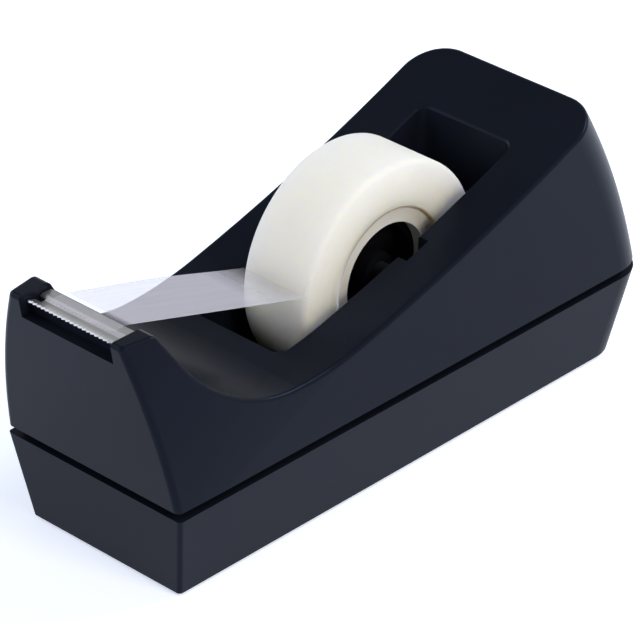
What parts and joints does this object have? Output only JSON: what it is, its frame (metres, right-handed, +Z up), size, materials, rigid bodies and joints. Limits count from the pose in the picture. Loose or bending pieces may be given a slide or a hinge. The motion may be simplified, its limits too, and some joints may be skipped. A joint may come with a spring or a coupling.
{
  "type": "desktop tape dispenser",
  "caption": "Weighted desktop tape dispenser with a sloping black shell, a toothed cutter on a raised nose and a lift-out hub that carries a roll of clear tape.",
  "frame": {"origin": "middle of the footprint's bounding box, on the surface that the non-skid pad stands on", "axes": "+Z up, -Y towards the nose with the cutter, X across the width along the roll's axis"},
  "size_m": [0.0534, 0.1602, 0.0686],
  "materials": {
    "shell_plastic": "satin moulded black",
    "base_plastic": "satin moulded black",
    "ballast_iron": "as cast",
    "pad_foam": "matt foam rubber",
    "screw_steel": "zinc plated",
    "blade_steel": "bright nickel plated",
    "axle_plastic": "satin moulded",
    "hub_plastic": "satin moulded black",
    "core_plastic": "white",
    "tape_film": "milky wound film",
    "leader_film": "clear film"
  },
  "bodies": {
    "housing": {"upper_shell": "shell_plastic", "base_tub": "base_plastic", "ballast_block": "ballast_iron", "nonskid_pad": "pad_foam", "case_screws": "screw_steel", "cutter_blade": "blade_steel"},
    "carrier": {"hub_axle": "axle_plastic", "tape_leader": "leader_film"},
    "roll": {"hub_wheel": "hub_plastic", "tape_core": "core_plastic", "tape_winding": "tape_film"}
  },
  "joints": [
    {"name": "roll_lift", "type": "slide", "parent": "housing", "child": "carrier", "axis": [0, 0, 1], "range_m": [0, 0.045]},
    {"name": "roll_spin", "type": "hinge", "parent": "carrier", "child": "roll", "pos_m": [0, 0.0096, 0.0405], "axis": [1, 0, 0], "continuous": true}
  ]
}
